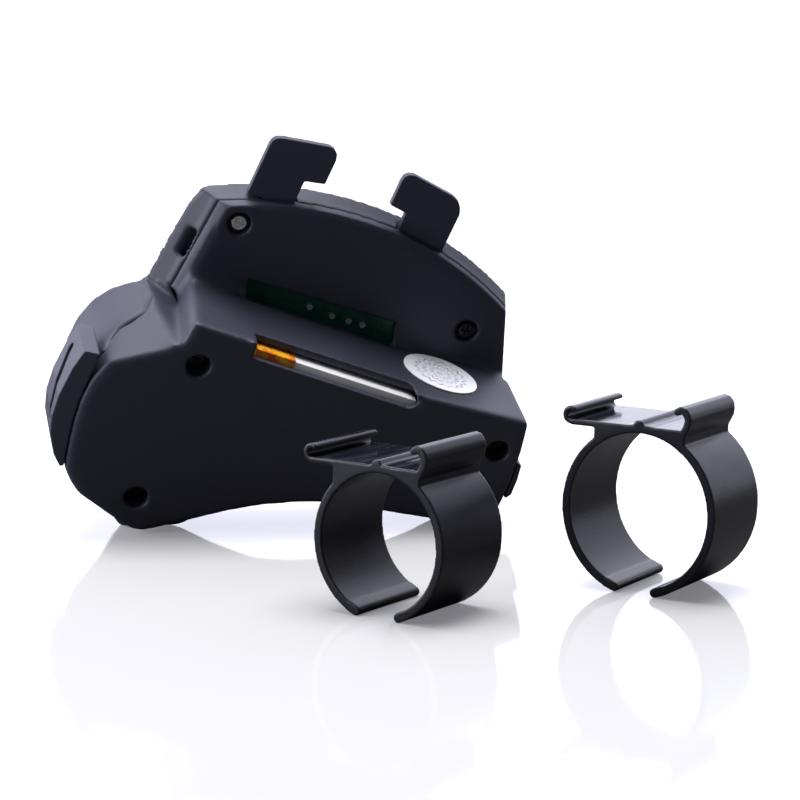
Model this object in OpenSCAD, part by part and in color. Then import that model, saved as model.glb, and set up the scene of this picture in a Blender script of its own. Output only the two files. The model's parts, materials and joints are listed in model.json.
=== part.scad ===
// Hands-free speakerphone for a steering wheel, seen from behind, with its two loose rim clips.
// Millimetres. The floor is z = 0 and +Z is up. The unit has its own axes before stance() turns it:
// x runs along the rim seat to the right seen from behind, y from the back to the front, z up.

/* [Stance] */
// Lean of the unit towards the viewer of its back
lean = 20; // [0:1:30]
// Turn of the rim seat in the back's plane
rim_tilt = 20; // [0:1:30]
// Height of the rim seat's left back corner over the floor
seat_height = 54.6; // [50:0.1:60]
// Place of the unit, left to right
unit_x = -44.95; // [-80:0.05:0]
// Place of the unit, back to front
unit_y = 17.7; // [0:0.05:60]

/* [Shells] */
// Wall of the two shells
wall = 2; // [1.6:0.1:3]
// Depth of the rim seat, from its edge to the upper panel
seat_depth = 26; // [22:0.5:28]
// Whole depth of the unit
unit_depth = 33.5; // [32:0.5:38]
// Radius of the hollow between seat and panel
seat_radius = 2.5; // [1:0.5:6]
// Radius of the arched top edge at the front
top_radius = 95.2; // [80:0.1:120]
// Width of the screw wells
well_d = 6; // [5:0.1:7]

/* [Windows] */
// Length of the battery window in the seat's edge
slot_length = 44; // [30:1:50]
// Height and depth of the battery window
slot_size = 4; // [3:0.1:5]

/* [Hooks] */
// Thickness of a hook plate
hook_t = 2; // [1.2:0.1:3]

/* [Keys] */
// Travel of the keys
key_travel = 0.8; // [0.4:0.1:1]
// Gap around a key
key_gap = 0.35; // [0.3:0.05:0.6]

/* [Clips] */
// Outside radius of the small clip's ring
small_r = 16.9; // [15:0.1:18]
// Outside radius of the large clip's ring
large_r = 19.2; // [18:0.1:21]
// Wall of the clips
clip_wall = 1.5; // [1.2:0.1:2]
// Length of the clips along the rim
clip_l = 24.5; // [18:0.5:30]
// Gap between the two arms of a clip
clip_gap = 8; // [4:0.1:12]

/* [Hidden] */
$fn = 64;
top_c = [40, -64.4];
hook_y = 29.7;
split_y = hook_y - hook_t / 2;
board_y = 27.9;
front_in = unit_depth - wall;
// Depth at which the sides of the upper case begin to flare
flare_y = seat_depth - 0.3;
// Height of the key switches over the board, and of the key flanges behind the front wall
switch_h = 0.8;
flange_in = 0.95;

// Back outline of the lower case, clockwise from the seat's left end. Its last points are the
// upper left corner, which slopes up to the fuller outline of the front
back_pts = [[0, 0], [62, 0.2], [90.6, 2.2], [92.6, -6], [93.8, -14], [94.4, -22], [93.8, -25.6],
    [91.6, -28.6], [88.6, -30], [79.3, -31.4], [64.3, -33.6], [52, -35.4], [43.5, -38.3], [36, -41.6],
    [29.1, -45.6], [12, -57.2], [8.9, -58.2], [6, -57.6], [-4.8, -53.9], [-8, -52.8], [-11, -50.4],
    [-14, -47], [-15.2, -42], [-16.6, -35], [-17.3, -28.9], [-17.2, -22], [-16, -18], [-13.2, -15.3],
    [-9, -12.6], [-3.4, -8.8], [-2, -7.5]];
// The same with the corner as full as the front's, before lobe_slope() cuts it
rear_pts = concat([for (i = [0 : 24]) back_pts[i]],
    [[-17.1, -22.6], [-15.4, -16.8], [-12.4, -12.4], [-8, -8.8], [-5.6, -7.6]]);
// Front outline of the lower case: fuller at the upper left, deeper under the two lobes
front_pts = [[0, 0], [62, 0.2], [90.6, 2.2], [92.6, -6], [93.8, -14], [94.4, -22], [94, -30],
    [91, -34.6], [86, -35.4], [76, -34.4], [64.3, -34.6], [52, -36.4], [43.5, -39.3], [36, -43],
    [28, -50], [17, -62], [12.5, -64.5], [9.5, -63.5], [3, -58.6], [-4.6, -54.6], [-9, -51], [-12, -46.6],
    [-14.4, -41.6], [-16.4, -35], [-17.3, -28.9], [-17.1, -22.6], [-15.4, -16.8], [-12.4, -12.4],
    [-8, -8.8], [-5.6, -7.6]];
// Outline of the upper case: the arch of top_radius closes it above
upper_pts = [[-6.4, -9], [-5.4, -3], [-3.4, 15.7], [-2, 20.5], [0.2, 22.9], [4, 25], [4, 40], [79.4, 40],
    [79.4, 22.4], [82.4, 21], [84.2, 18.9], [86.7, 12.9], [89.4, 6.1], [92.3, -0.5], [93.4, -8]];
// Split between the shells, y against z
split_pts = [[-1, 45], [split_y, 45], [split_y, -5], [26.5, -6.6], [22.6, -7.8], [17.6, -8.6], [15.2, -10.6],
    [13, -13.4], [10.4, -15.4], [7, -17], [7, -80], [-1, -80]];

function unit2(v) = v / norm(v);
// Outline moved inwards by d, for a clockwise list of points
function inset(p, d) = [for (i = [0 : len(p) - 1])
    let (a = p[(i + len(p) - 1) % len(p)], b = p[i], c = p[(i + 1) % len(p)],
        u = unit2(b - a), w = unit2(c - b), n = [u[1], -u[0]], m = [w[1], -w[0]])
    b + d * (n + m) / (1 + n * m)];

module stance() translate([unit_x, unit_y, seat_height]) rotate([lean, 0, 0]) rotate([0, rim_tilt, 0])
    children();
module above_floor() intersection() {
    children();
    translate([-150, -150, 0]) cube([300, 300, 200]);
}
// Draws an outline in x and z from depth y0 to y1
module deep(y0, y1) translate([0, y1, 0]) rotate([90, 0, 0]) linear_extrude(y1 - y0) children();
module along_y(x, z, y0, y1, r) translate([x, y1, z]) rotate([90, 0, 0]) cylinder(r = r, h = y1 - y0);
module long_key(x, z, y0, y1, w, h) deep(y0, y1) long_shape(x, z, w, h);
module long_shape(x, z, w, h) union() {
    translate([x - (w - h) / 2, z - h / 2]) square([w - h, h]);
    translate([x - (w - h) / 2, z]) circle(h / 2);
    translate([x + (w - h) / 2, z]) circle(h / 2);
}

// The flared sides of the upper case, cut away outside them
module side_cuts(d) {
    rotate([0, 4.1, 0]) translate([0, 0, -7 - d]) linear_extrude(60 + d)
        polygon([[d - 0.5, -5], [2.7 + d, flare_y], [-5 + d, unit_depth], [-5 + d, unit_depth + 9],
            [-60, unit_depth + 9], [-60, -5]]);
    translate([90.3, 0, 0]) rotate([0, -23.6, 0]) translate([0, 0, -7 - d]) linear_extrude(60 + d)
        polygon([[-d, seat_depth - 3], [-d, flare_y], [1.6 - d, unit_depth], [1.6 - d, unit_depth + 9],
            [60, unit_depth + 9], [60, seat_depth - 3]]);
}
function arch_r(y) = top_radius - (unit_depth - y) * 2.8 / (unit_depth - seat_depth);
module arch(y0, y1, d) translate([top_c[0], y1, top_c[1]]) rotate([90, 0, 0])
    cylinder(r1 = arch_r(y1) - d, r2 = arch_r(y0) - d, h = y1 - y0, $fn = 128);
// The upper case, its walls moved inwards by d
module upper(y0, y1, d) difference() {
    intersection() {
        deep(y0, y1) polygon(inset(upper_pts, d));
        arch(y0, y1, d);
    }
    side_cuts(d);
}
// What lies above the sloping top of the left lobe
module lobe_slope() translate([-3.4, 0, -8.8]) rotate([0, -33.6, 0]) rotate([7.7, 0, 0])
    translate([-20, -2, 0]) cube([21.6, 34, 9]);
module seat_hollow() difference() {
    rotate([90, 0, 90]) translate([0, 0, -0.2]) linear_extrude(90) difference() {
        translate([seat_depth - seat_radius, -3]) square([seat_radius + 1.5, seat_radius + 3]);
        translate([seat_depth - seat_radius, seat_radius]) circle(seat_radius);
    }
    side_cuts(0);
}
module rear_side() rotate([90, 0, 90]) translate([0, 0, -60]) linear_extrude(200) polygon(split_pts);
module screw_wells(r, y1) {
    along_y(5.7, -10.4, -0.1, y1, r);
    along_y(5.7, -49, -0.1, y1, r);
    along_y(86.2, -7.9, -0.1, y1, r);
}
module panel_wells(r, y0, y1) {
    along_y(8.4, 17.3, y0, y1, r);
    along_y(75.2, 9.7, y0, y1, r);
}

module rear_shell() color([0.13, 0.13, 0.16]) above_floor() stance() difference() {
    union() {
        difference() {
            intersection() {
                union() {
                    difference() {
                        deep(0, split_y) polygon(rear_pts);
                        side_cuts(0);
                        lobe_slope();
                    }
                    upper(seat_depth, split_y, 0);
                    seat_hollow();
                }
                rear_side();
            }
            // The hollow inside, below the seat and behind the panel
            difference() {
                union() {
                    difference() {
                        deep(wall, 40) polygon(inset(back_pts, wall));
                        side_cuts(wall);
                    }
                    upper(seat_depth + 1.6, 40, wall);
                }
                screw_wells(well_d / 2 + 1.5, 7.6);
                translate([-30, 0, -wall]) cube([150, seat_depth + 1.6, 60]);
            }
            translate([5, seat_depth + 1.6, -8]) cube([80, 8, 12]);
        }
        panel_wells(well_d / 2 + 1.2, seat_depth + 1, seat_depth + 3.3);
    }
    screw_wells(well_d / 2, 6);
    screw_wells(1.25, 9);
    panel_wells(well_d / 2, seat_depth - 1, seat_depth + 2);
    panel_wells(1.25, seat_depth - 1, 32);
    // Battery window in the seat's edge
    translate([17, -1, -slot_size]) cube([slot_length - slot_size / 2, slot_size + 2.5, slot_size + 5]);
    translate([15 + slot_length, -1, -slot_size / 2]) rotate([-90, 0, 0])
        cylinder(d = slot_size, h = slot_size + 2.5);
    // Board window in the panel
    deep(seat_depth - 2, seat_depth + 3) polygon([[18, -0.5], [59, -0.5], [57, 5.7], [16.5, 4.3]]);
    hook_seats(0.15);
    translate([-20, seat_depth - 0.5, -12]) cube([19.4, 10, 8]);
}
module socket_hole() translate([-8, board_y + 1.25, 3.2]) cube([12, 1.9, 7.6]);

module front_shell() color([0.16, 0.16, 0.19]) above_floor() stance() difference() {
    union() {
        difference() {
            union() {
                difference() {
                    deep(2, unit_depth) polygon(front_pts);
                    side_cuts(0);
                }
                upper(seat_depth, unit_depth, 0);
            }
            rear_side();
        }
    }
    difference() {
        union() {
            difference() {
                union() {
                    deep(9, front_in) polygon(inset(front_pts, wall));
                    deep(0, 9.1) polygon(inset(back_pts, wall + 0.3));
                }
                side_cuts(wall);
            }
            upper(seat_depth, front_in, wall);
        }
        // Bosses that take the screws
        screw_wells(2.4, 40);
        panel_wells(2.2, seat_depth + 3.4, 40);
    }
    // Room for the wells of the rear shell
    screw_wells(well_d / 2 + 1.7, 9);
    screw_wells(1.05, 20);
    panel_wells(1.05, 20, 31.6);
    hook_seats(0.15);
    socket_hole();
    display_hole();
    key_holes();
    speaker_holes();
    // Microphone hole
    along_y(88.4, -26, 20, 40, 0.8);
}
// Plates on the two sides of the lower case
left_out = [[-17.6, -15.6], [-21.2, -16], [-22.2, -21], [-22.6, -28.9], [-22, -35], [-20.4, -40],
    [-17.6, -44.6], [-15, -47.2], [-13.6, -46.4], [-14.9, -41.6], [-16.35, -35], [-17.05, -28.9],
    [-16.95, -21.8], [-15.8, -18.2], [-14.4, -16.9]];
module left_side_plate() color([0.1, 0.1, 0.13]) stance() difference() {
    deep(1, 15.4) polygon(left_out);
    deep(0, 16) polygon([[-17.32, -15], [-17.32, -28.9], [-16.62, -35.02], [-15.22, -42.02],
        [-14.02, -47.02], [-10, -50], [-5, -30], [-10, -12]]);
    // Long slot in its outer face
    translate([-24.4, 7.6, -28.6]) rotate([-19, 0, 0]) {
        translate([0, -1.3, -8.4]) cube([4.3, 2.6, 16.8]);
        for (z = [-8.4, 8.4]) translate([0, 0, z]) rotate([0, 90, 0]) cylinder(r = 1.3, h = 4.3, $fn = 24);
    }
}
module right_side_plate() color([0.1, 0.1, 0.13]) stance()
    deep(1, 13) polygon([[93.18, -9.6], [94.4, -9.9], [95.3, -14], [95.7, -18.4], [94.9, -19.8],
        [94.28, -19.8], [93.84, -14]]);

// Hook plates in the arched top, their heads overhanging towards the middle
hook_1 = [[7.7, 24.6], [7.7, 38.4], [8, 39.6], [8.8, 40.5], [10.1, 40.95], [21.9, 42.9], [23.3, 42.6],
    [24.4, 41.6], [24.85, 40.2], [24.9, 33.3], [19.8, 32.3], [19.8, 24.6]];
hook_2 = [[60.5, 23.6], [60.3, 37.6], [59.6, 39.3], [58.4, 40.7], [56.6, 41.5], [44.9, 43.3], [43.5, 42.9],
    [42.7, 42.1], [42.45, 40.8], [42.6, 33.9], [47.2, 33.2], [47.4, 23.6]];
module hook_plate(p) color([0.05, 0.05, 0.07]) stance()
    deep(hook_y - hook_t / 2, hook_y + hook_t / 2) polygon(p);
module hook_left() hook_plate(hook_1);
module hook_right() hook_plate(hook_2);
module hook_seats(g) {
    translate([7.7 - g, hook_y - hook_t / 2 - g, 24.4]) cube([12.1 + 2 * g, hook_t + 2 * g, 9]);
    translate([47.2 - g, hook_y - hook_t / 2 - g, 23.4]) cube([13.3 + 2 * g, hook_t + 2 * g, 9]);
}

// Front: display, keys, speaker
module display_hole() deep(20, 40)
    polygon([[12, 1.4], [61, 1.4], [61, 20.4], [58, 22.4], [15, 22.4], [12, 20.4]]);
module display_lens() color([0.03, 0.03, 0.04]) stance() deep(front_in - 0.6, unit_depth - 0.2)
    polygon(inset([[12, 1.4], [12, 20.4], [15, 22.4], [58, 22.4], [61, 20.4], [61, 1.4]], 0.1));
module display_module() color([0.55, 0.6, 0.6]) stance() difference() {
    deep(board_y + 1.1, front_in - 0.7) translate([13.6, 2.4]) square([46, 18.6]);
    deep(front_in - 1.2, 40) translate([17, 5]) square([39, 13.4]);
}
// Places and sizes of the keys
key_list = [[50, -15.6, 13, 8], [67, -15.6, 9, 8], [84, -15.6, 11, 8], [58.6, -25.6, 11, 6.4],
    [75.4, -25.6, 11, 6.4]];
module key_holes() for (k = key_list) deep(20, 40) long_shape(k[0], k[1], k[2], k[3]);
module key(k) stance() {
    long_key(k[0], k[1], front_in - 0.9, unit_depth + 1, k[2] - 2 * key_gap, k[3] - 2 * key_gap);
    translate([k[0] - k[2] / 2 - 0.6, front_in - flange_in, k[1] - k[3] / 2 - 0.6])
        cube([k[2] + 1.2, 0.8, k[3] + 1.2]);
}
module answer_key() color([0.1, 0.45, 0.2]) key(key_list[0]);
module menu_key() color([0.14, 0.14, 0.17]) key(key_list[1]);
module end_key() color([0.6, 0.1, 0.1]) key(key_list[2]);
module volume_down_key() color([0.14, 0.14, 0.17]) key(key_list[3]);
module volume_up_key() color([0.14, 0.14, 0.17]) key(key_list[4]);
module key_switches() color([0.75, 0.75, 0.72]) stance() for (k = key_list) {
    translate([k[0] - 2, board_y + 1, k[1] - 2]) cube([4, switch_h - 0.2, 4]);
    along_y(k[0], k[1], board_y + 1.5, board_y + 1 + switch_h, 1.1);
}

speaker_c = [14.5, -31.5];
module speaker_holes() {
    for (ring = [0 : 4], i = [0 : max(0, ring * 6 - 1)]) let (a = i * 360 / max(1, ring * 6))
        along_y(speaker_c[0] + ring * 3.3 * cos(a), speaker_c[1] + ring * 3.3 * sin(a), 20, 40, 0.9);
}
module round_at_speaker(y0, y1, r) along_y(speaker_c[0], speaker_c[1], front_in + y0, front_in + y1, r);
module speaker_frame() color([0.35, 0.35, 0.37]) stance() difference() {
    union() {
        round_at_speaker(-2.8, -0.8, 16.4);
        round_at_speaker(-8.4, -2.7, 12.6);
    }
    round_at_speaker(-2.2, 0, 15);
    round_at_speaker(-7.2, -2, 11.6);
    round_at_speaker(-9, -2, 8.1);
}
module speaker_magnet() color([0.5, 0.5, 0.52]) stance() {
    round_at_speaker(-12.6, -7.2, 8);
    round_at_speaker(-7.3, -5.4, 4.2);
}
module speaker_cone() color([0.08, 0.08, 0.09]) stance()
    translate([speaker_c[0], front_in - 4.8, speaker_c[1]]) rotate([-90, 0, 0]) rotate_extrude()
        polygon([[0, 0], [4.8, 0], [11, 2.65], [14.7, 2.65], [14.7, 3.25], [10.8, 3.25], [4.6, 0.6],
            [0, 0.6]]);
module speaker_gasket() color([0.06, 0.06, 0.06]) stance() difference() {
    round_at_speaker(-0.75, -0.4, 16.4);
    round_at_speaker(-1, 0, 14.6);
}
module speaker_mesh() color([0.1, 0.1, 0.11]) stance() round_at_speaker(-0.35, -0.05, 16.2);
module microphone() color([0.6, 0.6, 0.58]) stance() along_y(88.4, -26, board_y + 1.05, board_y + 3.2, 1.9);

// Inside: board, pins, battery, socket
module circuit_board() color([0.05, 0.3, 0.15]) stance() difference() {
    deep(board_y, board_y + 1) polygon([[3.8, -1], [4.4, 12], [8, 13], [14, 22.4], [24, 23.2],
        [52, 23.2], [76, 18], [79.4, 13], [84, 1], [90.6, -9], [91, -28], [54, -32], [42, -30], [42, -11],
        [12, -9], [4, -5]]);
    screw_wells(2.8, 32);
    panel_wells(4.6, 20, 32);
}
module solder_pins() color([0.8, 0.8, 0.78]) stance()
    for (p = [[34.8, 1.9], [41.2, 1.5], [45.8, 1.6], [49.6, 1.8]])
        along_y(p[0], p[1], board_y - 0.65, board_y - 0.02, 0.75);
module charging_socket() color([0.75, 0.76, 0.78]) stance() difference() {
    translate([2.4, board_y + 1.05, 3]) cube([6.2, 2.3, 8]);
    translate([2, board_y + 1.35, 3.4]) cube([6, 1.7, 7.2]);
}
module socket_tongue() color([0.1, 0.1, 0.1]) stance()
    translate([3.2, board_y + 1.95, 4.6]) cube([4.75, 0.5, 4.8]);
module battery_box(g) translate([18.4 - g, wall + 0.5 - g, -29 - g])
    cube([43 + 2 * g, 5.2 + 2 * g, 26.4 + 2 * g]);
module battery() color([0.72, 0.73, 0.75]) stance() battery_box(0);
// Tape wrapped round the battery's end
module battery_tape() color([0.85, 0.6, 0.12]) stance() difference() {
    translate([18.1, wall + 0.2, -14]) cube([10.3, 5.8, 11.7]);
    battery_box(0.03);
}
module battery_lead() color([0.75, 0.08, 0.06]) stance() {
    along_y(33, -7, 7.75, board_y - 0.05, 0.6);
    along_y(35, -7, 7.75, board_y - 0.05, 0.6);
}
module round_sticker() color([0.9, 0.9, 0.9]) stance() translate([70.6, 15.2, 0.85]) rotate([0, -4, 0])
    cylinder(d = 15.6, h = 0.25);

module screw(x, z, y0, y1, l) {
    along_y(x, z, y0, y1, 1.9);
    along_y(x, z, y1 - 0.1, y1 + l, 1);
}
module long_screws() color([0.7, 0.7, 0.72]) stance() {
    for (p = [[5.7, -10.4], [5.7, -49], [86.2, -7.9]]) difference() {
        screw(p[0], p[1], 4.6, 5.95, 11);
        translate([p[0] - 1.3, 4, p[1] - 0.25]) cube([2.6, 1.2, 0.5]);
        translate([p[0] - 0.25, 4, p[1] - 1.3]) cube([0.5, 1.2, 2.6]);
    }
}
module short_screws() color([0.8, 0.8, 0.82]) stance() {
    for (p = [[8.4, 17.3], [75.2, 9.7]]) difference() {
        screw(p[0], p[1], seat_depth + 0.6, seat_depth + 1.95, 3.4);
        translate([p[0] - 1.3, 25.2, p[1] - 0.25]) cube([2.6, 2, 0.5]);
        translate([p[0] - 0.25, 25.2, p[1] - 1.3]) cube([0.5, 2, 2.6]);
    }
}

// A spring clip: open ring, flat table on it, curled lip left and hooked lip right
function ring_z(r, x) = sqrt(r * r - x * x);
module clip_shape(r) difference() {
    let (t = r - 0.6) union() {
        difference() {
            circle(r, $fn = 96);
            translate([-clip_gap / 2 - 0.7, -r - 1]) square([clip_gap, r]);
        }
        translate([-clip_gap / 2 - 0.9, -ring_z(r, clip_gap / 2 + 0.9) + 0.8]) circle(0.9, $fn = 24);
        translate([clip_gap / 2 - 0.5, -ring_z(r, clip_gap / 2 - 0.5) + 0.85]) circle(0.9, $fn = 24);
        translate([-16.9, t - 1.2]) square([30, 1.2]);
        // Web between ring and table
        polygon([[-11.2, t - 1], [-11.3, t - 2.3], [-12.9, ring_z(r, 12.9) - 0.2], [-8, r - 7], [8, r - 7],
            [12.9, ring_z(r, 12.9) - 0.2], [11.4, t - 2.9], [11.8, t - 1.9], [13, t - 0.9], [13.3, t - 0.2],
            [0, t - 0.1]]);
        // Curled lip
        translate([-16.7, t + 0.8]) difference() {
            circle(2, $fn = 32);
            circle(1, $fn = 24);
            translate([0.3, -0.8]) square([3, 4]);
        }
        // Hooked lip
        translate([12.2, t - 1]) square([1.25, 4.4]);
        translate([11.75, t + 3.3]) difference() {
            circle(1.7, $fn = 32);
            circle(0.7, $fn = 24);
            translate([-3, -3]) square([3.2, 3.1]);
        }
        // Half-round rib on the table
        translate([0.3, t - 0.1]) circle(1.3, $fn = 24);
    }
    circle(r - clip_wall, $fn = 96);
}
module clip(r, x, y, a) translate([x, y, ring_z(r, clip_gap / 2 - 0.5) + 0.05]) rotate([0, 0, -a])
    translate([0, clip_l, 0]) rotate([90, 0, 0]) linear_extrude(clip_l) clip_shape(r);
module clip_large() color([0.06, 0.06, 0.07]) clip(large_r, unit_x + 92, unit_y - 61.4, 43);
module clip_small() color([0.06, 0.06, 0.07]) clip(small_r, unit_x + 29.9, unit_y - 77, 45.6);

rear_shell();
front_shell();
left_side_plate();
right_side_plate();
hook_left();
hook_right();
display_lens();
display_module();
answer_key();
menu_key();
end_key();
volume_down_key();
volume_up_key();
key_switches();
speaker_frame();
speaker_magnet();
speaker_cone();
speaker_gasket();
speaker_mesh();
microphone();
circuit_board();
solder_pins();
charging_socket();
socket_tongue();
battery();
battery_tape();
battery_lead();
round_sticker();
long_screws();
short_screws();
clip_large();
clip_small();
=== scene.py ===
import json
import math
import bpy
import bmesh
import numpy as np
from mathutils import Matrix, Vector

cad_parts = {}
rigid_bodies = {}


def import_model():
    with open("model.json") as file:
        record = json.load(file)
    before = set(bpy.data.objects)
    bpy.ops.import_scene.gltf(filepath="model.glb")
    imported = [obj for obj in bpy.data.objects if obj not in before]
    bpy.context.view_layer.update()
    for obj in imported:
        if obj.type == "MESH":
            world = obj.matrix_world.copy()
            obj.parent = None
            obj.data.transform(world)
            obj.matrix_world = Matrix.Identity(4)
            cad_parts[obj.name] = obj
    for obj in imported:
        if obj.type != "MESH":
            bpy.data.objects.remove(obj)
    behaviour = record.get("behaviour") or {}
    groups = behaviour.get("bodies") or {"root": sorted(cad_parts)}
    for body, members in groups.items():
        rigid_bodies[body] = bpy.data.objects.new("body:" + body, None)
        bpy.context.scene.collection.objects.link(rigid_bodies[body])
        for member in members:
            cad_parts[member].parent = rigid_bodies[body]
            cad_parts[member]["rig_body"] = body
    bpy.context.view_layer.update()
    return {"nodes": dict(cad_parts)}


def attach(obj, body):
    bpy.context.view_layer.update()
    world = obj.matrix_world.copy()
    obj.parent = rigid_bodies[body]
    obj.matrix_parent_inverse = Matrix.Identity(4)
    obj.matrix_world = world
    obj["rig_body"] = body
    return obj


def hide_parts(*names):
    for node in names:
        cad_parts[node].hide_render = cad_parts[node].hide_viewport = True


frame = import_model()
nodes = frame["nodes"]
scene = bpy.context.scene
mm = 0.001
print("frame loaded:", len(nodes), "nodes")

# how the case stands, in mm and degrees, as its solids do
stance = {"x": -44.95, "y": 17.7, "seatHeight": 54.6, "lean": 20, "rimTilt": 20}
caseSpace = (Matrix.Translation(Vector((stance["x"], stance["y"], stance["seatHeight"])) * mm)
             @ Matrix.Rotation(math.radians(stance["lean"]), 4, "X")
             @ Matrix.Rotation(math.radians(stance["rimTilt"]), 4, "Y"))


# ---- camera, floor and lights

cameraView = {"lens": 123.75, "x": -138.82, "y": -622.0, "z": 139.32, "turn": -12.70, "pitch": 9.0, "roll": 1.2}


def placeCamera(view):
    data = bpy.data.cameras.new("studioCamera")
    data.lens = view["lens"]
    data.sensor_width = 36
    data.clip_start = 0.01
    data.clip_end = 50
    camera = bpy.data.objects.new("studioCamera", data)
    camera.matrix_world = (Matrix.Translation(Vector((view["x"], view["y"], view["z"])) * mm)
                           @ Matrix.Rotation(math.radians(view["turn"]), 4, "Z")
                           @ Matrix.Rotation(math.radians(90 - view["pitch"]), 4, "X")
                           @ Matrix.Rotation(math.radians(view["roll"]), 4, "Z"))
    scene.collection.objects.link(camera)
    scene.camera = camera


placeCamera(cameraView)
scene.view_settings.view_transform = "Standard"

lights = {
    "overheadBox": {"at": (0.0, 0.06, 0.85), "aim": (0.0, 0.04, 0.0), "size": (0.7, 0.5), "watts": 10},
    "leftPanel": {"at": (-0.75, -0.04, 0.22), "aim": (-0.05, 0.04, 0.06), "size": (0.5, 0.5), "watts": 6.5},
}


def addLight(name, light):
    data = bpy.data.lights.new(name, "AREA")
    data.shape = "RECTANGLE"
    data.size, data.size_y = light["size"]
    data.energy = light["watts"]
    lamp = bpy.data.objects.new(name, data)
    lamp.location = light["at"]
    lamp.rotation_mode = "QUATERNION"
    lamp.rotation_quaternion = (Vector(light["aim"]) - Vector(light["at"])).to_track_quat("-Z", "Y")
    scene.collection.objects.link(lamp)


for lightName, light in lights.items():
    addLight(lightName, light)


# ---- node helpers

def addNode(tree, kind, inputs=None, **settings):
    made = tree.nodes.new(kind)
    for key, value in settings.items():
        setattr(made, key, value)
    for key, value in (inputs or {}).items():
        if isinstance(value, bpy.types.NodeSocket):
            tree.links.new(value, made.inputs[key])
        else:
            made.inputs[key].default_value = value
    return made


def newMaterial(name, settings):
    # a material with its Principled shader; constant values go on the shader's own sockets
    material = bpy.data.materials.new(name)
    material.use_nodes = True
    tree = material.node_tree
    tree.nodes.clear()
    shader = addNode(tree, "ShaderNodeBsdfPrincipled", settings)
    output = addNode(tree, "ShaderNodeOutputMaterial")
    tree.links.new(shader.outputs[0], output.inputs[0])
    return material, tree, shader


def grey(level, tint=(1.0, 1.0, 1.0)):
    return (level * tint[0], level * tint[1], level * tint[2], 1.0)


coolTint = (0.93, 0.92, 1.5)
coolGloss = (0.84, 0.86, 1.0, 1.0)


def newGroup(name, inputs, outputs):
    group = bpy.data.node_groups.new(name, "ShaderNodeTree")
    for label, value in inputs.items():
        kind = "NodeSocketVector" if isinstance(value, tuple) else "NodeSocketFloat"
        socket = group.interface.new_socket(label, in_out="INPUT", socket_type=kind)
        socket.default_value = value
    for label, kind in outputs.items():
        group.interface.new_socket(label, in_out="OUTPUT", socket_type=kind)
    return group, group.nodes.new("NodeGroupInput"), group.nodes.new("NodeGroupOutput")


# fine moulded grain with a slower drift of tone
def buildGrain():
    group, source, result = newGroup(
        "mouldedGrain", {"Fineness": 4500.0, "Drift": 60.0},
        {"Height": "NodeSocketFloat", "Tone": "NodeSocketFloat"})
    place = addNode(group, "ShaderNodeTexCoord")
    fine = addNode(group, "ShaderNodeTexNoise", {"Vector": place.outputs["Object"], "Scale": source.outputs["Fineness"],
                                                 "Detail": 3.0, "Roughness": 0.6})
    slow = addNode(group, "ShaderNodeTexNoise", {"Vector": place.outputs["Object"], "Scale": source.outputs["Drift"],
                                                 "Detail": 5.0, "Roughness": 0.55})
    group.links.new(fine.outputs[0], result.inputs["Height"])
    group.links.new(slow.outputs[0], result.inputs["Tone"])
    return group


# lighter rims where hands rub a moulding, broken up by noise
def buildRubbedEdge():
    group, source, result = newGroup(
        "rubbedEdge", {"Pointiness": 0.5, "Start": 0.52, "Full": 0.62, "Breakup": 350.0}, {"Mask": "NodeSocketFloat"})
    place = addNode(group, "ShaderNodeTexCoord")
    patch = addNode(group, "ShaderNodeTexNoise", {"Vector": place.outputs["Object"],
                                                  "Scale": source.outputs["Breakup"], "Detail": 4.0})
    ramp = addNode(group, "ShaderNodeMapRange", {"Value": source.outputs["Pointiness"],
                                                 "From Min": source.outputs["Start"],
                                                 "From Max": source.outputs["Full"]})
    share = addNode(group, "ShaderNodeMath", {0: ramp.outputs[0], 1: patch.outputs[0]}, operation="MULTIPLY")
    group.links.new(share.outputs[0], result.inputs["Mask"])
    return group


# hairlines and scuffs that run along one direction
def buildScuffs():
    group, source, result = newGroup(
        "drawnScuffs", {"Turn": (0.0, 0.0, 0.0), "Spacing": 900.0, "Length": 0.04},
        {"Lines": "NodeSocketFloat", "Patches": "NodeSocketFloat"})
    place = addNode(group, "ShaderNodeTexCoord")
    stretch = addNode(group, "ShaderNodeCombineXYZ", {0: 1.0, 1: source.outputs["Length"], 2: 1.0})
    turned = addNode(group, "ShaderNodeMapping", {"Vector": place.outputs["Object"],
                                                  "Rotation": source.outputs["Turn"]})
    drawn = addNode(group, "ShaderNodeVectorMath", {0: turned.outputs[0], 1: stretch.outputs[0]}, operation="MULTIPLY")
    lines = addNode(group, "ShaderNodeTexNoise", {"Vector": drawn.outputs[0], "Scale": source.outputs["Spacing"],
                                                  "Detail": 4.0, "Roughness": 0.75})
    patches = addNode(group, "ShaderNodeTexNoise", {"Vector": place.outputs["Object"], "Scale": 160.0, "Detail": 5.0})
    group.links.new(lines.outputs[0], result.inputs["Lines"])
    group.links.new(patches.outputs[0], result.inputs["Patches"])
    return group


grainGroup = buildGrain()
edgeGroup = buildRubbedEdge()
scuffGroup = buildScuffs()


def useGroup(tree, group, inputs):
    made = tree.nodes.new("ShaderNodeGroup")
    made.node_tree = group
    for key, value in inputs.items():
        if isinstance(value, bpy.types.NodeSocket):
            tree.links.new(value, made.inputs[key])
        else:
            made.inputs[key].default_value = value
    return made


def mixColours(tree, factor, low, high):
    mix = tree.nodes.new("ShaderNodeMix")
    mix.data_type = "RGBA"
    for socket, value in ((mix.inputs[0], factor), (mix.inputs[6], low), (mix.inputs[7], high)):
        if isinstance(value, bpy.types.NodeSocket):
            tree.links.new(value, socket)
        else:
            socket.default_value = value
    return mix.outputs[2]


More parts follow.
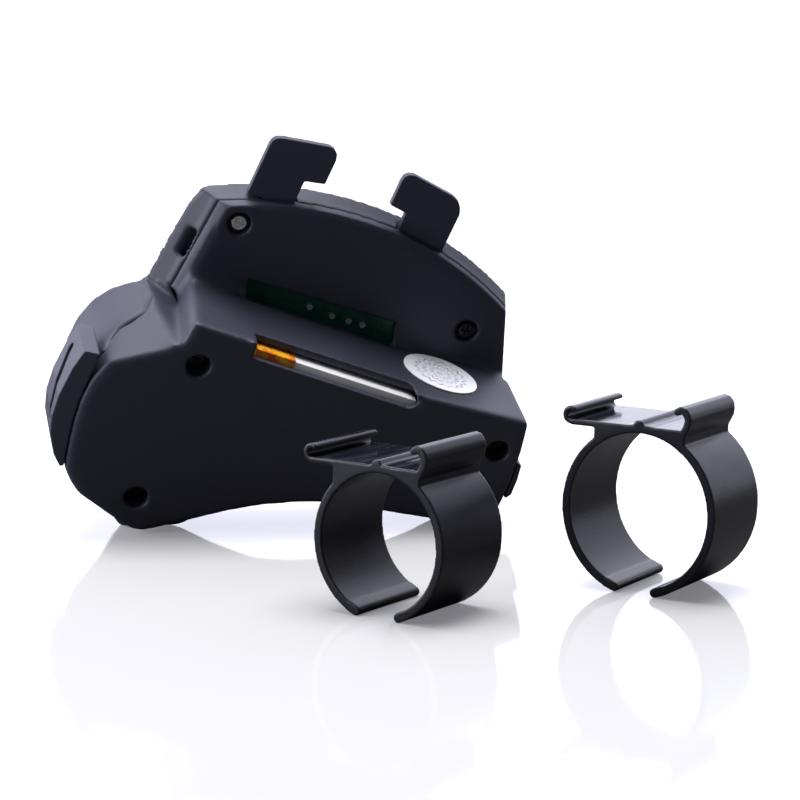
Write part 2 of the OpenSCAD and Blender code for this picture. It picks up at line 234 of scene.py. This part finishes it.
def remap(tree, value, low, high, start=0.0, end=1.0):
    made = addNode(tree, "ShaderNodeMapRange", {"Value": value, "From Min": start, "From Max": end,
                                                "To Min": low, "To Max": high})
    return made.outputs[0]


def addBump(tree, shader, height, depth, strength=1.0):
    bump = addNode(tree, "ShaderNodeBump", {"Height": height, "Distance": depth, "Strength": strength})
    tree.links.new(bump.outputs[0], shader.inputs["Normal"])


# ---- plastics

plastics = {
    "softTouchShell": {"dark": 0.026, "light": 0.035, "rubbed": 0.052, "rough": (0.46, 0.54), "grain": 5200.0,
                       "depth": 0.00003, "edge": (0.54, 0.66)},
    "sidePlate": {"dark": 0.038, "light": 0.05, "rubbed": 0.066, "rough": (0.42, 0.5), "grain": 5200.0,
                  "depth": 0.00003, "edge": (0.54, 0.66)},
    "hookPlastic": {"dark": 0.034, "light": 0.042, "rubbed": 0.052, "rough": (0.48, 0.56), "grain": 4200.0,
                    "depth": 0.00003, "edge": (0.54, 0.66)},
}


def mouldedPlastic(name, look):
    material, tree, shader = newMaterial(name, {"Specular IOR Level": 0.5, "Specular Tint": coolGloss})
    grain = useGroup(tree, grainGroup, {"Fineness": look["grain"], "Drift": 55.0})
    shape = addNode(tree, "ShaderNodeNewGeometry")
    rub = useGroup(tree, edgeGroup, {"Pointiness": shape.outputs["Pointiness"], "Start": look["edge"][0],
                                     "Full": look["edge"][1]})
    base = mixColours(tree, grain.outputs["Tone"], grey(look["dark"], coolTint), grey(look["light"], coolTint))
    tree.links.new(mixColours(tree, rub.outputs["Mask"], base, grey(look["rubbed"], coolTint)),
                   shader.inputs["Base Color"])
    tree.links.new(remap(tree, grain.outputs["Tone"], look["rough"][0], look["rough"][1], 0.3, 0.7),
                   shader.inputs["Roughness"])
    addBump(tree, shader, grain.outputs["Height"], look["depth"])
    return material


shellLook = mouldedPlastic("softTouchShell", plastics["softTouchShell"])
plateLook = mouldedPlastic("sidePlate", plastics["sidePlate"])
hookLook = mouldedPlastic("hookPlastic", plastics["hookPlastic"])

clipFinish = {"specular": 0.36, "dark": 0.009, "scuffed": 0.06, "satin": (0.27, 0.34), "smooth": 0.1, "worn": 0.42,
              "depth": 0.00004, "upward": (0.86, 0.97), "streaks": (0.5, 0.68)}


def springClipPlastic(name, turn):
    # satin all over; only what faces up, the table and the lips, has the glossy streaks of use
    material, tree, shader = newMaterial(name, {"Specular IOR Level": clipFinish["specular"],
                                                "Specular Tint": coolGloss})
    place = addNode(tree, "ShaderNodeTexCoord")
    facing = addNode(tree, "ShaderNodeSeparateXYZ", {0: place.outputs["Normal"]}).outputs[2]
    flat = remap(tree, facing, 0.0, 1.0, *clipFinish["upward"])
    grain = useGroup(tree, grainGroup, {"Fineness": 3800.0, "Drift": 90.0})
    scuffs = useGroup(tree, scuffGroup, {"Turn": (0.0, 0.0, math.radians(turn))})
    lines = remap(tree, scuffs.outputs["Lines"], 0.0, 1.0, *clipFinish["streaks"])
    share = addNode(tree, "ShaderNodeMath", {0: lines, 1: scuffs.outputs["Patches"]}, operation="MULTIPLY").outputs[0]
    streaks = addNode(tree, "ShaderNodeMath", {0: share, 1: flat}, operation="MULTIPLY").outputs[0]
    tree.links.new(mixColours(tree, streaks, grey(clipFinish["dark"], coolTint), grey(clipFinish["scuffed"], coolTint)),
                   shader.inputs["Base Color"])
    satin = remap(tree, grain.outputs["Tone"], clipFinish["satin"][0], clipFinish["satin"][1], 0.3, 0.7)
    glossy = remap(tree, share, clipFinish["smooth"], clipFinish["worn"])
    rough = addNode(tree, "ShaderNodeMix", {0: flat, 2: satin, 3: glossy})
    tree.links.new(rough.outputs[0], shader.inputs["Roughness"])
    height = addNode(tree, "ShaderNodeMix", {0: flat, 2: grain.outputs["Height"], 3: scuffs.outputs["Lines"]})
    addBump(tree, shader, height.outputs[0], clipFinish["depth"], 0.5)
    return material


largeClipLook = springClipPlastic("largeClipPlastic", 43.0)
smallClipLook = springClipPlastic("smallClipPlastic", 45.6)


# ---- metals, board, battery, sticker and the front

def brushedMetal(name, tone, rough, grainScale=2600.0):
    material, tree, shader = newMaterial(name, {"Metallic": 1.0})
    grain = useGroup(tree, grainGroup, {"Fineness": grainScale, "Drift": 240.0})
    tree.links.new(mixColours(tree, grain.outputs["Tone"], grey(tone * 0.75), grey(tone)), shader.inputs["Base Color"])
    tree.links.new(remap(tree, grain.outputs["Tone"], rough * 0.7, rough * 1.3), shader.inputs["Roughness"])
    addBump(tree, shader, grain.outputs["Height"], 0.00002)
    return material


screwLook = brushedMetal("screwSteel", 0.9, 0.24)
# near-black steel: painted shade standing for the shadow in deep screw wells
paintedShadeScrewLook = brushedMetal("paintedShadeScrew", 0.05, 0.4)
socketLook = brushedMetal("socketShell", 0.68, 0.25)
tinLook = brushedMetal("tinnedContact", 0.95, 0.4)
magnetLook = brushedMetal("speakerSteel", 0.4, 0.4)


def patternSpace(tree, origin):
    # the case's own axes round a point on it, so that a print lies along the case
    place = addNode(tree, "ShaderNodeTexCoord")
    centre = caseSpace @ (Vector(origin) * mm)
    turn = caseSpace.to_3x3().inverted().to_euler("XYZ")
    moved = addNode(tree, "ShaderNodeVectorMath", {0: place.outputs["Object"], 1: centre}, operation="SUBTRACT")
    return addNode(tree, "ShaderNodeMapping", {"Vector": moved.outputs[0], "Rotation": turn}).outputs[0]


def boardMaterial():
    material, tree, shader = newMaterial("boardResist", {"Specular IOR Level": 0.5, "Roughness": 0.3})
    along = patternSpace(tree, (38.0, 0.0, 2.0))
    tracks = addNode(tree, "ShaderNodeTexBrick", {"Vector": addNode(tree, "ShaderNodeMapping", {
        "Vector": along, "Rotation": (math.radians(90), 0.0, 0.0)}).outputs[0],
        "Color1": (0.004, 0.055, 0.032, 1), "Color2": (0.006, 0.1, 0.05, 1), "Mortar": (0.012, 0.15, 0.085, 1),
        "Scale": 300.0, "Mortar Size": 0.02, "Brick Width": 1.3, "Row Height": 0.35})
    grain = useGroup(tree, grainGroup, {"Fineness": 3000.0, "Drift": 300.0})
    tree.links.new(mixColours(tree, grain.outputs["Tone"], tracks.outputs["Color"], (0.003, 0.03, 0.02, 1)),
                   shader.inputs["Base Color"])
    addBump(tree, shader, tracks.outputs["Fac"], 0.00003)
    return material


def foilMaterial():
    material, tree, shader = newMaterial("batteryFoil", {"Metallic": 0.0, "Specular IOR Level": 0.6})
    grain = useGroup(tree, grainGroup, {"Fineness": 900.0, "Drift": 130.0})
    tree.links.new(mixColours(tree, grain.outputs["Tone"], grey(0.85), grey(0.98)), shader.inputs["Base Color"])
    tree.links.new(remap(tree, grain.outputs["Tone"], 0.25, 0.45), shader.inputs["Roughness"])
    addBump(tree, shader, grain.outputs["Tone"], 0.0002)
    return material


def tapeMaterial():
    material, tree, shader = newMaterial("amberTape", {"Specular IOR Level": 0.5, "Roughness": 0.25})
    grain = useGroup(tree, grainGroup, {"Fineness": 900.0, "Drift": 420.0})
    blotch = remap(tree, grain.outputs["Tone"], 0.0, 1.0, 0.42, 0.6)
    tree.links.new(mixColours(tree, blotch, (0.75, 0.13, 0.01, 1), (0.95, 0.5, 0.02, 1)), shader.inputs["Base Color"])
    addBump(tree, shader, grain.outputs["Height"], 0.00005)
    return material


stickerPrint = {"centre": (69.3, 15.2, 0.85), "stretch": (1.27, 1.15), "paper": 0.97, "ink": 0.4, "rosette": 7.2,
                "petals": 18.0, "rings": 3200.0, "swirl": 1.4}


def stickerMaterial(look):
    material, tree, shader = newMaterial("paperSticker", {"Specular IOR Level": 0.4, "Roughness": 0.45})
    flat = patternSpace(tree, look["centre"])
    parts = addNode(tree, "ShaderNodeSeparateXYZ", {0: flat})
    radius = addNode(tree, "ShaderNodeVectorMath", {0: flat}, operation="LENGTH").outputs["Value"]
    angle = addNode(tree, "ShaderNodeMath", {0: parts.outputs[0], 1: parts.outputs[1]}, operation="ARCTAN2").outputs[0]
    petals = addNode(tree, "ShaderNodeMath", {0: angle, 1: look["petals"]}, operation="MULTIPLY").outputs[0]
    rings = addNode(tree, "ShaderNodeMath", {0: radius, 1: look["rings"]}, operation="MULTIPLY").outputs[0]
    sway = addNode(tree, "ShaderNodeMath", {0: petals}, operation="SINE").outputs[0]
    swirl = addNode(tree, "ShaderNodeMath", {0: sway, 1: look["swirl"]}, operation="MULTIPLY").outputs[0]
    swept = addNode(tree, "ShaderNodeMath", {0: rings, 1: swirl}, operation="ADD").outputs[0]
    wave = addNode(tree, "ShaderNodeMath", {0: swept}, operation="SINE").outputs[0]
    lines = remap(tree, wave, 0.0, 1.0, 0.1, 0.8)
    inside = remap(tree, radius, 1.0, 0.0, (look["rosette"] - 0.15) * mm, look["rosette"] * mm)
    faded = useGroup(tree, grainGroup, {"Fineness": 2500.0, "Drift": 500.0})
    inked = addNode(tree, "ShaderNodeMath", {0: lines, 1: inside}, operation="MULTIPLY").outputs[0]
    worn = addNode(tree, "ShaderNodeMath", {0: inked, 1: remap(tree, faded.outputs["Tone"], 0.2, 1.0, 0.35, 0.65)},
                   operation="MULTIPLY").outputs[0]
    tree.links.new(mixColours(tree, worn, grey(look["paper"], (0.98, 0.98, 1.03)), grey(look["ink"], coolTint)),
                   shader.inputs["Base Color"])
    addBump(tree, shader, faded.outputs["Height"], 0.00001)
    return material


def tintedPlastic(name, dark, light, rough, coat=0.0):
    material, tree, shader = newMaterial(name, {"Specular IOR Level": 0.5, "Coat Weight": coat})
    grain = useGroup(tree, grainGroup, {"Fineness": 3600.0, "Drift": 140.0})
    tree.links.new(mixColours(tree, grain.outputs["Tone"], (*dark, 1), (*light, 1)), shader.inputs["Base Color"])
    tree.links.new(remap(tree, grain.outputs["Tone"], rough * 0.8, rough * 1.2), shader.inputs["Roughness"])
    addBump(tree, shader, grain.outputs["Height"], 0.00001)
    return material


def weaveMaterial():
    material, tree, shader = newMaterial("speakerCloth", {"Specular IOR Level": 0.2, "Roughness": 0.8})
    flat = patternSpace(tree, (14.5, 31.0, -31.5))
    threads = [addNode(tree, "ShaderNodeTexWave", {"Vector": flat, "Scale": 900.0}, bands_direction=axis).outputs["Fac"]
               for axis in ("X", "Z")]
    cloth = addNode(tree, "ShaderNodeMath", {0: threads[0], 1: threads[1]}, operation="MULTIPLY").outputs[0]
    tree.links.new(mixColours(tree, cloth, grey(0.006), grey(0.06)), shader.inputs["Base Color"])
    addBump(tree, shader, cloth, 0.00008)
    return material


boardLook = boardMaterial()
foilLook = foilMaterial()
tapeLook = tapeMaterial()
stickerLook = stickerMaterial(stickerPrint)
lensLook = tintedPlastic("lensBlack", (0.004, 0.004, 0.006), (0.008, 0.008, 0.01), 0.06, 0.5)
displayLook = tintedPlastic("displayPanel", (0.18, 0.22, 0.19), (0.24, 0.28, 0.24), 0.35)
answerLook = tintedPlastic("answerGreen", (0.01, 0.17, 0.05), (0.02, 0.24, 0.07), 0.32)
endLook = tintedPlastic("endRed", (0.28, 0.012, 0.012), (0.38, 0.02, 0.018), 0.32)
keyLook = tintedPlastic("keyGrey", (0.03, 0.03, 0.036), (0.045, 0.045, 0.052), 0.36)
innerBlack = tintedPlastic("innerBlack", (0.01, 0.01, 0.011), (0.018, 0.018, 0.02), 0.5)
leadLook = tintedPlastic("leadRed", (0.3, 0.015, 0.012), (0.4, 0.02, 0.016), 0.4)
clothLook = weaveMaterial()


# ---- floor and surroundings

floorLook = {"white": 0.5, "rough": 0.06, "specular": 0.35, "glow": 0.19, "cast": (0.96, 0.95, 1.05, 1), "bounce": 0.1,
             "radius": 6.0}


def floorMaterial(look):
    # seen, the table is white and glossy; what it throws back on the object is held down, as dark cards do
    material, tree, shader = newMaterial("whiteTable", {
        "Specular IOR Level": look["specular"], "Emission Color": look["cast"], "Emission Strength": look["glow"]})
    dim = addNode(tree, "ShaderNodeBsdfDiffuse", {0: grey(look["bounce"])})
    path = addNode(tree, "ShaderNodeLightPath")
    both = addNode(tree, "ShaderNodeMixShader", {0: path.outputs["Is Camera Ray"], 1: dim.outputs[0],
                                                 2: shader.outputs[0]})
    output = next(made for made in tree.nodes if made.type == "OUTPUT_MATERIAL")
    tree.links.new(both.outputs[0], output.inputs[0])
    grain = useGroup(tree, grainGroup, {"Fineness": 30.0, "Drift": 2.0})
    tree.links.new(mixColours(tree, grain.outputs["Tone"], grey(look["white"]), grey(look["white"] * 1.02)),
                   shader.inputs["Base Color"])
    tree.links.new(remap(tree, grain.outputs["Tone"], look["rough"] * 0.9, look["rough"] * 1.1),
                   shader.inputs["Roughness"])
    return material


def addFloor(look):
    mesh = bpy.data.meshes.new("whiteTable")
    shape = bmesh.new()
    bmesh.ops.create_circle(shape, cap_ends=True, segments=96, radius=look["radius"])
    shape.to_mesh(mesh)
    shape.free()
    floor = bpy.data.objects.new("whiteTable", mesh)
    scene.collection.objects.link(floor)
    mesh.materials.append(floorMaterial(look))


surroundings = {"backdrop": 1.9, "front": 0.13, "seen": 1.2, "turn": (0.12, 0.62), "cast": (0.93, 0.935, 1.09, 1.0)}


def addSurroundings(look):
    world = bpy.data.worlds.new("studio")
    scene.world = world
    world.use_nodes = True
    tree = world.node_tree
    tree.nodes.clear()
    place = addNode(tree, "ShaderNodeTexCoord")
    parts = addNode(tree, "ShaderNodeSeparateXYZ", {0: place.outputs["Generated"]})
    level = remap(tree, parts.outputs[1], look["front"], look["backdrop"], *look["turn"])
    lit = addNode(tree, "ShaderNodeBackground", {"Color": look["cast"], "Strength": level})
    shown = addNode(tree, "ShaderNodeBackground", {"Color": (1.0, 1.0, 1.0, 1.0), "Strength": look["seen"]})
    path = addNode(tree, "ShaderNodeLightPath")
    both = addNode(tree, "ShaderNodeMixShader", {0: path.outputs["Is Camera Ray"], 1: lit.outputs[0],
                                                 2: shown.outputs[0]})
    output = addNode(tree, "ShaderNodeOutputWorld")
    tree.links.new(both.outputs[0], output.inputs[0])


addFloor(floorLook)
addSurroundings(surroundings)
print("camera, lights, floor and materials made")


# ---- moulded pieces

def copyOfNode(nodeName, pieceName):
    mesh = nodes[nodeName].data.copy()
    mesh.name = pieceName
    shape = bmesh.new()
    shape.from_mesh(mesh)
    bmesh.ops.remove_doubles(shape, verts=shape.verts, dist=0.004 * mm)
    shape.to_mesh(mesh)
    shape.free()
    mesh.materials.clear()
    piece = bpy.data.objects.new(pieceName, mesh)
    scene.collection.objects.link(piece)
    return piece


def settle(piece):
    # turns what the modifiers make into the piece's own mesh
    graph = bpy.context.evaluated_depsgraph_get()
    made = bpy.data.meshes.new_from_object(piece.evaluated_get(graph), depsgraph=graph)
    piece.modifiers.clear()
    piece.data = made
    made.name = piece.name


def standFor(piece, nodeName, look):
    body = nodes[nodeName]["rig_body"]
    piece.data.materials.clear()
    piece.data.materials.append(look)
    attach(piece, body)
    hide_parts(nodeName)


def inCase(piece):
    # the piece's points in the case's axes, in mm
    points = np.empty(len(piece.data.vertices) * 3)
    piece.data.vertices.foreach_get("co", points)
    back = np.array(caseSpace.inverted())
    return (points.reshape(-1, 3) @ back[:3, :3].T + back[:3, 3]) / mm


def smoothWhere(piece, chosen, passes):
    group = piece.vertex_groups.new(name="wide")
    group.add([int(i) for i in np.flatnonzero(chosen)], 1.0, "REPLACE")
    smooth = piece.modifiers.new("wide", "SMOOTH")
    smooth.vertex_group = "wide"
    smooth.factor = 0.5
    smooth.iterations = passes
    settle(piece)


def shiftInCase(piece, shift):
    # moves points by a table of shifts given in the case's axes, in mm
    points = inCase(piece) + shift
    turn = np.array(caseSpace)
    placed = (points * mm) @ turn[:3, :3].T + turn[:3, 3]
    piece.data.vertices.foreach_set("co", placed.ravel())


def wrapInSkin(piece, voxel, passes):
    # an even skin over all that the piece has, relaxed a few times
    remesh = piece.modifiers.new("skin", "REMESH")
    remesh.mode = "VOXEL"
    remesh.voxel_size = voxel * mm
    remesh.use_smooth_shade = True
    relax = piece.modifiers.new("relax", "SMOOTH")
    relax.factor = 0.5
    relax.iterations = passes
    settle(piece)


def finishMoulding(piece, nodeName, look, keep):
    triangles = len(piece.data.polygons) * 2
    if triangles > keep:
        thin = piece.modifiers.new("thin", "DECIMATE")
        thin.ratio = keep / triangles
        settle(piece)
    piece.data.polygons.foreach_set("use_smooth", [True] * len(piece.data.polygons))
    standFor(piece, nodeName, look)
    print("moulded", piece.name, triangles, "->", len(piece.data.polygons))


def roundMoulding(nodeName, pieceName, look, skin, passes, keep, wide=(), finish=None):
    # rounds a moulding the way its tool does
    piece = copyOfNode(nodeName, pieceName)
    wrapInSkin(piece, *(((skin, passes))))
    for chosen, widePasses in wide:
        smoothWhere(piece, chosen(inCase(piece)), widePasses)
    if finish is not None:
        finish(piece)
    finishMoulding(piece, nodeName, look, keep)


shellSkin = {"voxel": 0.42, "rearPasses": 5, "frontPasses": 9, "rounding": 26, "lobes": 70, "triangles": 190000}
splitLine = {"depth": 28.7, "lap": 0.5, "fade": 1.1, "beyond": 0.6, "above": -4.5}
wells = {"axes": [(5.7, -10.4), (5.7, -49.0), (86.2, -7.9), (8.4, 17.3), (75.2, 9.7)], "rim": 5.4, "wall": 5}

# boxes in the case's axes, in mm, whose edges stay crisp
rearBoxes = {"batteryWindow": ((15.5, -5, -5.5), (60.5, 9, 1.2)), "boardWindow": ((15, 22, -2), (60.5, 31, 7)),
             "split": ((-9, 26.6, -5), (100, 40, 60)), "stickerSeat": ((66, 22, -1), (80, 27, 2))}
frontBoxes = {"split": ((-9, 27.2, -5), (100, 30.6, 60)), "socket": ((-6, 28.5, 1), (6, 32, 13))}
frontFace = 31.0


def nearWells(p, reach):
    return np.min([np.hypot(p[:, 0] - x, p[:, 2] - z) for x, z in wells["axes"]], axis=0) < reach


def within(p, boxes):
    inside = [np.all((p > np.array(low)) & (p < np.array(high)), axis=1) for low, high in boxes.values()]
    return np.any(inside, axis=0)


def rearSoft(p):
    return ~(nearWells(p, wells["rim"]) | within(p, rearBoxes))


def rearLobe(p):
    return (p[:, 0] < 0.5) & (p[:, 2] < 1) & (p[:, 2] > -26) & ~nearWells(p, wells["wall"])


def frontSoft(p):
    return ~((p[:, 1] > frontFace) | within(p, frontBoxes))


def frontLobe(p):
    return (p[:, 0] < -1) & (p[:, 2] < -5) & (p[:, 1] < 30.5)


def closeSplit(side):
    # moves a shell's edge towards the other shell's above the seat, which narrows the joint there
    def finish(piece):
        p = inCase(piece)
        ahead = side * (splitLine["depth"] - p[:, 1])
        reach = np.clip(1 - ahead / splitLine["fade"], 0, 1) * (p[:, 2] > splitLine["above"])
        shift = np.zeros_like(p)
        shift[:, 1] = side * splitLine["lap"] * np.where(ahead > -splitLine["beyond"], reach, 0)
        shiftInCase(piece, shift)
    return finish


roundMoulding("rear_shell", "rearShellMoulding", shellLook, shellSkin["voxel"], shellSkin["rearPasses"],
              shellSkin["triangles"], [(rearSoft, shellSkin["rounding"]), (rearLobe, shellSkin["lobes"])],
              closeSplit(1))
roundMoulding("front_shell", "frontShellMoulding", shellLook, shellSkin["voxel"], shellSkin["frontPasses"],
              shellSkin["triangles"], [(frontSoft, shellSkin["rounding"]), (frontLobe, shellSkin["lobes"])],
              closeSplit(-1))


# ---- spring clips: each stroke of the profile is a round-ended bar, and a fine skin joins them

clipSizes = {
    "clip_large": {"piece": "largeClipMoulding", "look": largeClipLook, "near": (47.05, -43.7), "turn": 43.0,
                   "radius": 19.2, "centre": -0.6, "gap": (-5.0, 3.3), "shift": 0.0, "top": -1.4, "rise": 1.045},
    "clip_small": {"piece": "smallClipMoulding", "look": smallClipLook, "near": (-15.05, -59.3), "turn": 45.6,
                   "radius": 16.9, "centre": 0.0, "gap": (-4.6, 4.6), "shift": -1.5, "top": -1.1, "rise": 1.05},
}
# lengths in mm; heights count from the top of the table, and widths are half of a bar's
clipForm = {
    "length": 24.5, "tableDrop": 0.6, "ringDrop": 0.3, "wall": 0.95, "tip": 1.05, "tipInset": 0.8, "ringBars": 90,
    "table": (-16.3, 10.6), "tableWidth": 0.65, "web": (-11.6, 21.4), "webTop": 0.9, "webWidth": 0.45, "webBars": 45,
    "curl": (-16.6, 0.85), "curlRadius": 1.45, "curlTurns": (-90, -300), "curlBars": 13, "curlWidth": 0.55,
    "hook": [(9.9, -3.4), (10.4, -1.9), (11.3, -0.5), (12.05, 0.9), (12.3, 2.2), (12.05, 3.3), (11.35, 4.1),
             (10.4, 4.35), (9.65, 3.9)],
    "hookWidth": 0.8, "rib": 0.3, "ribHeight": 0.1, "ribWidth": 1.25, "skin": 0.24, "passes": 4, "floorGap": 0.04,
    "triangles": 150000,
}


def chain(points, width):
    return [(start, end, width) for start, end in zip(points, points[1:])]


def ringStrokes(size, form):
    # the open ring with its two tips, and the web that fills the space up to the table
    table = size["radius"] - form["tableDrop"]
    ring = size["radius"] - form["ringDrop"] - form["wall"]
    middle = size["centre"]
    ends = [math.asin((x + side * form["tip"] * form["tipInset"] - middle) / ring)
            for x, side in zip(size["gap"], (-1, 1))]
    start, stop = -math.pi / 2 + ends[1], math.pi * 1.5 + ends[0]
    turns = [start + (stop - start) * i / form["ringBars"] for i in range(form["ringBars"] + 1)]
    arc = [(middle + ring * math.cos(turn), ring * math.sin(turn)) for turn in turns]
    strokes = chain(arc, form["wall"]) + [(arc[0], arc[2], form["tip"]), (arc[-3], arc[-1], form["tip"])]
    for i in range(form["webBars"]):
        x = form["web"][0] + form["web"][1] * i / (form["webBars"] - 1)
        foot = math.sqrt(ring * ring - (x - middle) ** 2)
        strokes.append(((x, foot), (x, table - form["webTop"]), form["webWidth"]))
    return strokes


def topStrokes(size, form):
    # the table with its rib, the curled lip on the left and the hooked lip on the right
    table = size["radius"] - form["tableDrop"]
    turns = np.radians(np.linspace(*form["curlTurns"], form["curlBars"] + 1))
    curl = [(form["curl"][0] + form["curlRadius"] * math.cos(turn),
             table + form["curl"][1] + form["curlRadius"] * math.sin(turn)) for turn in turns]
    hook = [(x, table + z) for x, z in form["hook"]]
    level = [(x, table - form["tableWidth"]) for x in form["table"]]
    rib = [(form["rib"], table - form["ribHeight"]), (form["rib"], table)]
    strokes = (chain(hook, form["hookWidth"]) + chain(curl, form["curlWidth"]) + chain(level, form["tableWidth"])
               + chain(rib, form["ribWidth"]))
    side = size["top"]
    return [((a[0] + side, a[1]), (b[0] + side, b[1]), width) for a, b, width in strokes]


def addBar(shape, start, end, width, place):
    along = math.atan2(end[1] - start[1], end[0] - start[0])
    outline = [(middle[0] + width * math.cos(along + turn), middle[1] + width * math.sin(along + turn))
               for middle, first in ((end, -90), (start, 90))
               for turn in np.radians(np.linspace(first, first + 180, 9))]
    near, far = [[shape.verts.new(place @ Vector((x, y, z))) for x, z in outline] for y in (0.0, clipForm["length"])]
    shape.faces.new(near)
    shape.faces.new(far[::-1])
    for i in range(len(outline)):
        j = (i + 1) % len(outline)
        shape.faces.new((near[j], near[i], far[i], far[j]))


def springClip(nodeName, size):
    place = (Matrix.Scale(mm, 4) @ Matrix.Translation((*size["near"], 0.0))
             @ Matrix.Rotation(math.radians(-size["turn"]), 4, "Z") @ Matrix.Translation((size["shift"], 0.0, 20.0))
             @ Matrix.Scale(size["rise"], 4, (0.0, 0.0, 1.0)))
    shape = bmesh.new()
    for start, end, width in ringStrokes(size, clipForm) + topStrokes(size, clipForm):
        addBar(shape, start, end, width, place)
    mesh = bpy.data.meshes.new(size["piece"])
    bmesh.ops.recalc_face_normals(shape, faces=shape.faces)
    shape.to_mesh(mesh)
    shape.free()
    piece = bpy.data.objects.new(size["piece"], mesh)
    scene.collection.objects.link(piece)
    wrapInSkin(piece, clipForm["skin"], clipForm["passes"])
    lowest = min(vert.co.z for vert in piece.data.vertices)
    piece.data.transform(Matrix.Translation((0.0, 0.0, clipForm["floorGap"] * mm - lowest)))
    finishMoulding(piece, nodeName, size["look"], clipForm["triangles"])


for nodeName, size in clipSizes.items():
    springClip(nodeName, size)

smallTriangles = 120000
smallMouldings = {
    "left_side_plate": ("leftSidePlateMoulding", plateLook, 0.22, 5),
    "right_side_plate": ("rightSidePlateMoulding", plateLook, 0.2, 4),
    "hook_left": ("leftHookMoulding", hookLook, 0.2, 6),
    "hook_right": ("rightHookMoulding", hookLook, 0.2, 6),
}
for nodeName, (pieceName, look, skin, passes) in smallMouldings.items():
    roundMoulding(nodeName, pieceName, look, skin, passes, smallTriangles)


# ---- pieces with crisp bevelled edges

crispEdge = {"segments": 3, "sharp": 40, "shade": 35}


def flatCopy(nodeName, pieceName):
    # the node's copy as a bmesh with its flat faces whole
    piece = copyOfNode(nodeName, pieceName)
    shape = bmesh.new()
    shape.from_mesh(piece.data)
    bmesh.ops.dissolve_limit(shape, angle_limit=math.radians(1), verts=shape.verts, edges=shape.edges)
    return piece, shape


def steepEdges(shape, angle):
    return [e for e in shape.edges if len(e.link_faces) == 2 and e.calc_face_angle() > math.radians(angle)]


def bevelEdges(shape, edges, width, segments):
    bmesh.ops.bevel(shape, geom=edges, offset=width * mm, offset_type="OFFSET", segments=segments, profile=0.5,
                    affect="EDGES", clamp_overlap=True, material=-1)


def shadeSmooth(shape, angle):
    for face in shape.faces:
        face.smooth = True
    for edge in steepEdges(shape, angle):
        edge.smooth = False


def bevelPiece(nodeName, pieceName, look, width):
    piece, shape = flatCopy(nodeName, pieceName)
    bevelEdges(shape, steepEdges(shape, crispEdge["sharp"]), width, crispEdge["segments"])
    shadeSmooth(shape, crispEdge["shade"])
    bmesh.ops.triangulate(shape, faces=[f for f in shape.faces if len(f.verts) > 4])
    shape.to_mesh(piece.data)
    shape.free()
    standFor(piece, nodeName, look)


crispPieces = {
    "battery": ("batteryCell", foilLook, 0.15),
    "battery_tape": ("batteryEndTape", tapeLook, 0.12),
    "display_lens": ("displayLens", lensLook, 0.4),
    "answer_key": ("answerKeyCap", answerLook, 0.45),
    "menu_key": ("menuKeyCap", keyLook, 0.45),
    "end_key": ("endKeyCap", endLook, 0.45),
    "volume_down_key": ("volumeDownKeyCap", keyLook, 0.45),
    "volume_up_key": ("volumeUpKeyCap", keyLook, 0.45),
    "charging_socket": ("chargingSocketShell", socketLook, 0.15),
}
for nodeName, (pieceName, look, width) in crispPieces.items():
    bevelPiece(nodeName, pieceName, look, width)


panelScrews = {"axes": ((8.4, 17.3), (75.2, 9.7)), "rim": 1.9, "rounding": 0.95, "segments": 5, "margin": 0.05,
               "sharp": 40, "paintedShadeFrom": 40}


def roundedScrews(look):
    # the heads' rims are rounded as far as their recesses let them; the right screw is given near-black steel, painted
    # shade for the shadow in its deep well
    piece, shape = flatCopy("short_screws", "panelScrews")
    toCase = caseSpace.inverted()

    def isRim(vert):
        p = toCase @ vert.co / mm
        radius = min(math.hypot(p.x - x, p.z - z) for x, z in look["axes"])
        return abs(radius - look["rim"]) < look["margin"] and p.y < face + look["margin"]
    face = min((toCase @ v.co / mm).y for v in shape.verts)
    rims = [e for e in shape.edges if all(isRim(v) for v in e.verts)]
    bevelEdges(shape, rims, look["rounding"], look["segments"])
    shadeSmooth(shape, look["sharp"])
    shape.to_mesh(piece.data)
    shape.free()
    standFor(piece, "short_screws", screwLook)
    # the right screw's faces take the near-black steel as painted shade
    piece.data.materials.append(paintedShadeScrewLook)
    for polygon in piece.data.polygons:
        polygon.material_index = 1 if (toCase @ polygon.center / mm).x > look["paintedShadeFrom"] else 0


roundedScrews(panelScrews)


def widerSticker(look):
    # the paper reaches further over the seat than the label's own plate does
    piece = copyOfNode("round_sticker", "stickerPaper")
    p = inCase(piece)
    middle = (p.min(axis=0) + p.max(axis=0)) / 2
    shift = np.zeros_like(p)
    for axis, stretch in enumerate(look["stretch"]):
        shift[:, axis] = (p[:, axis] - middle[axis]) * (stretch - 1) + look["centre"][axis] - middle[axis]
    shiftInCase(piece, shift)
    standFor(piece, "round_sticker", stickerLook)


widerSticker(stickerPrint)

nodeLooks = {
    # the long screws take the near-black steel as painted shade of their deep wells
    "long_screws": paintedShadeScrewLook, "solder_pins": tinLook,
    "circuit_board": boardLook, "display_module": displayLook, "key_switches": tinLook, "speaker_frame": magnetLook,
    "speaker_magnet": magnetLook, "speaker_cone": innerBlack, "speaker_gasket": innerBlack,
    "speaker_mesh": clothLook, "microphone": tinLook, "socket_tongue": innerBlack, "battery_lead": leadLook,
}
for nodeName, look in nodeLooks.items():
    nodes[nodeName].data.materials.clear()
    nodes[nodeName].data.materials.append(look)
print("crisp pieces and node finishes done")
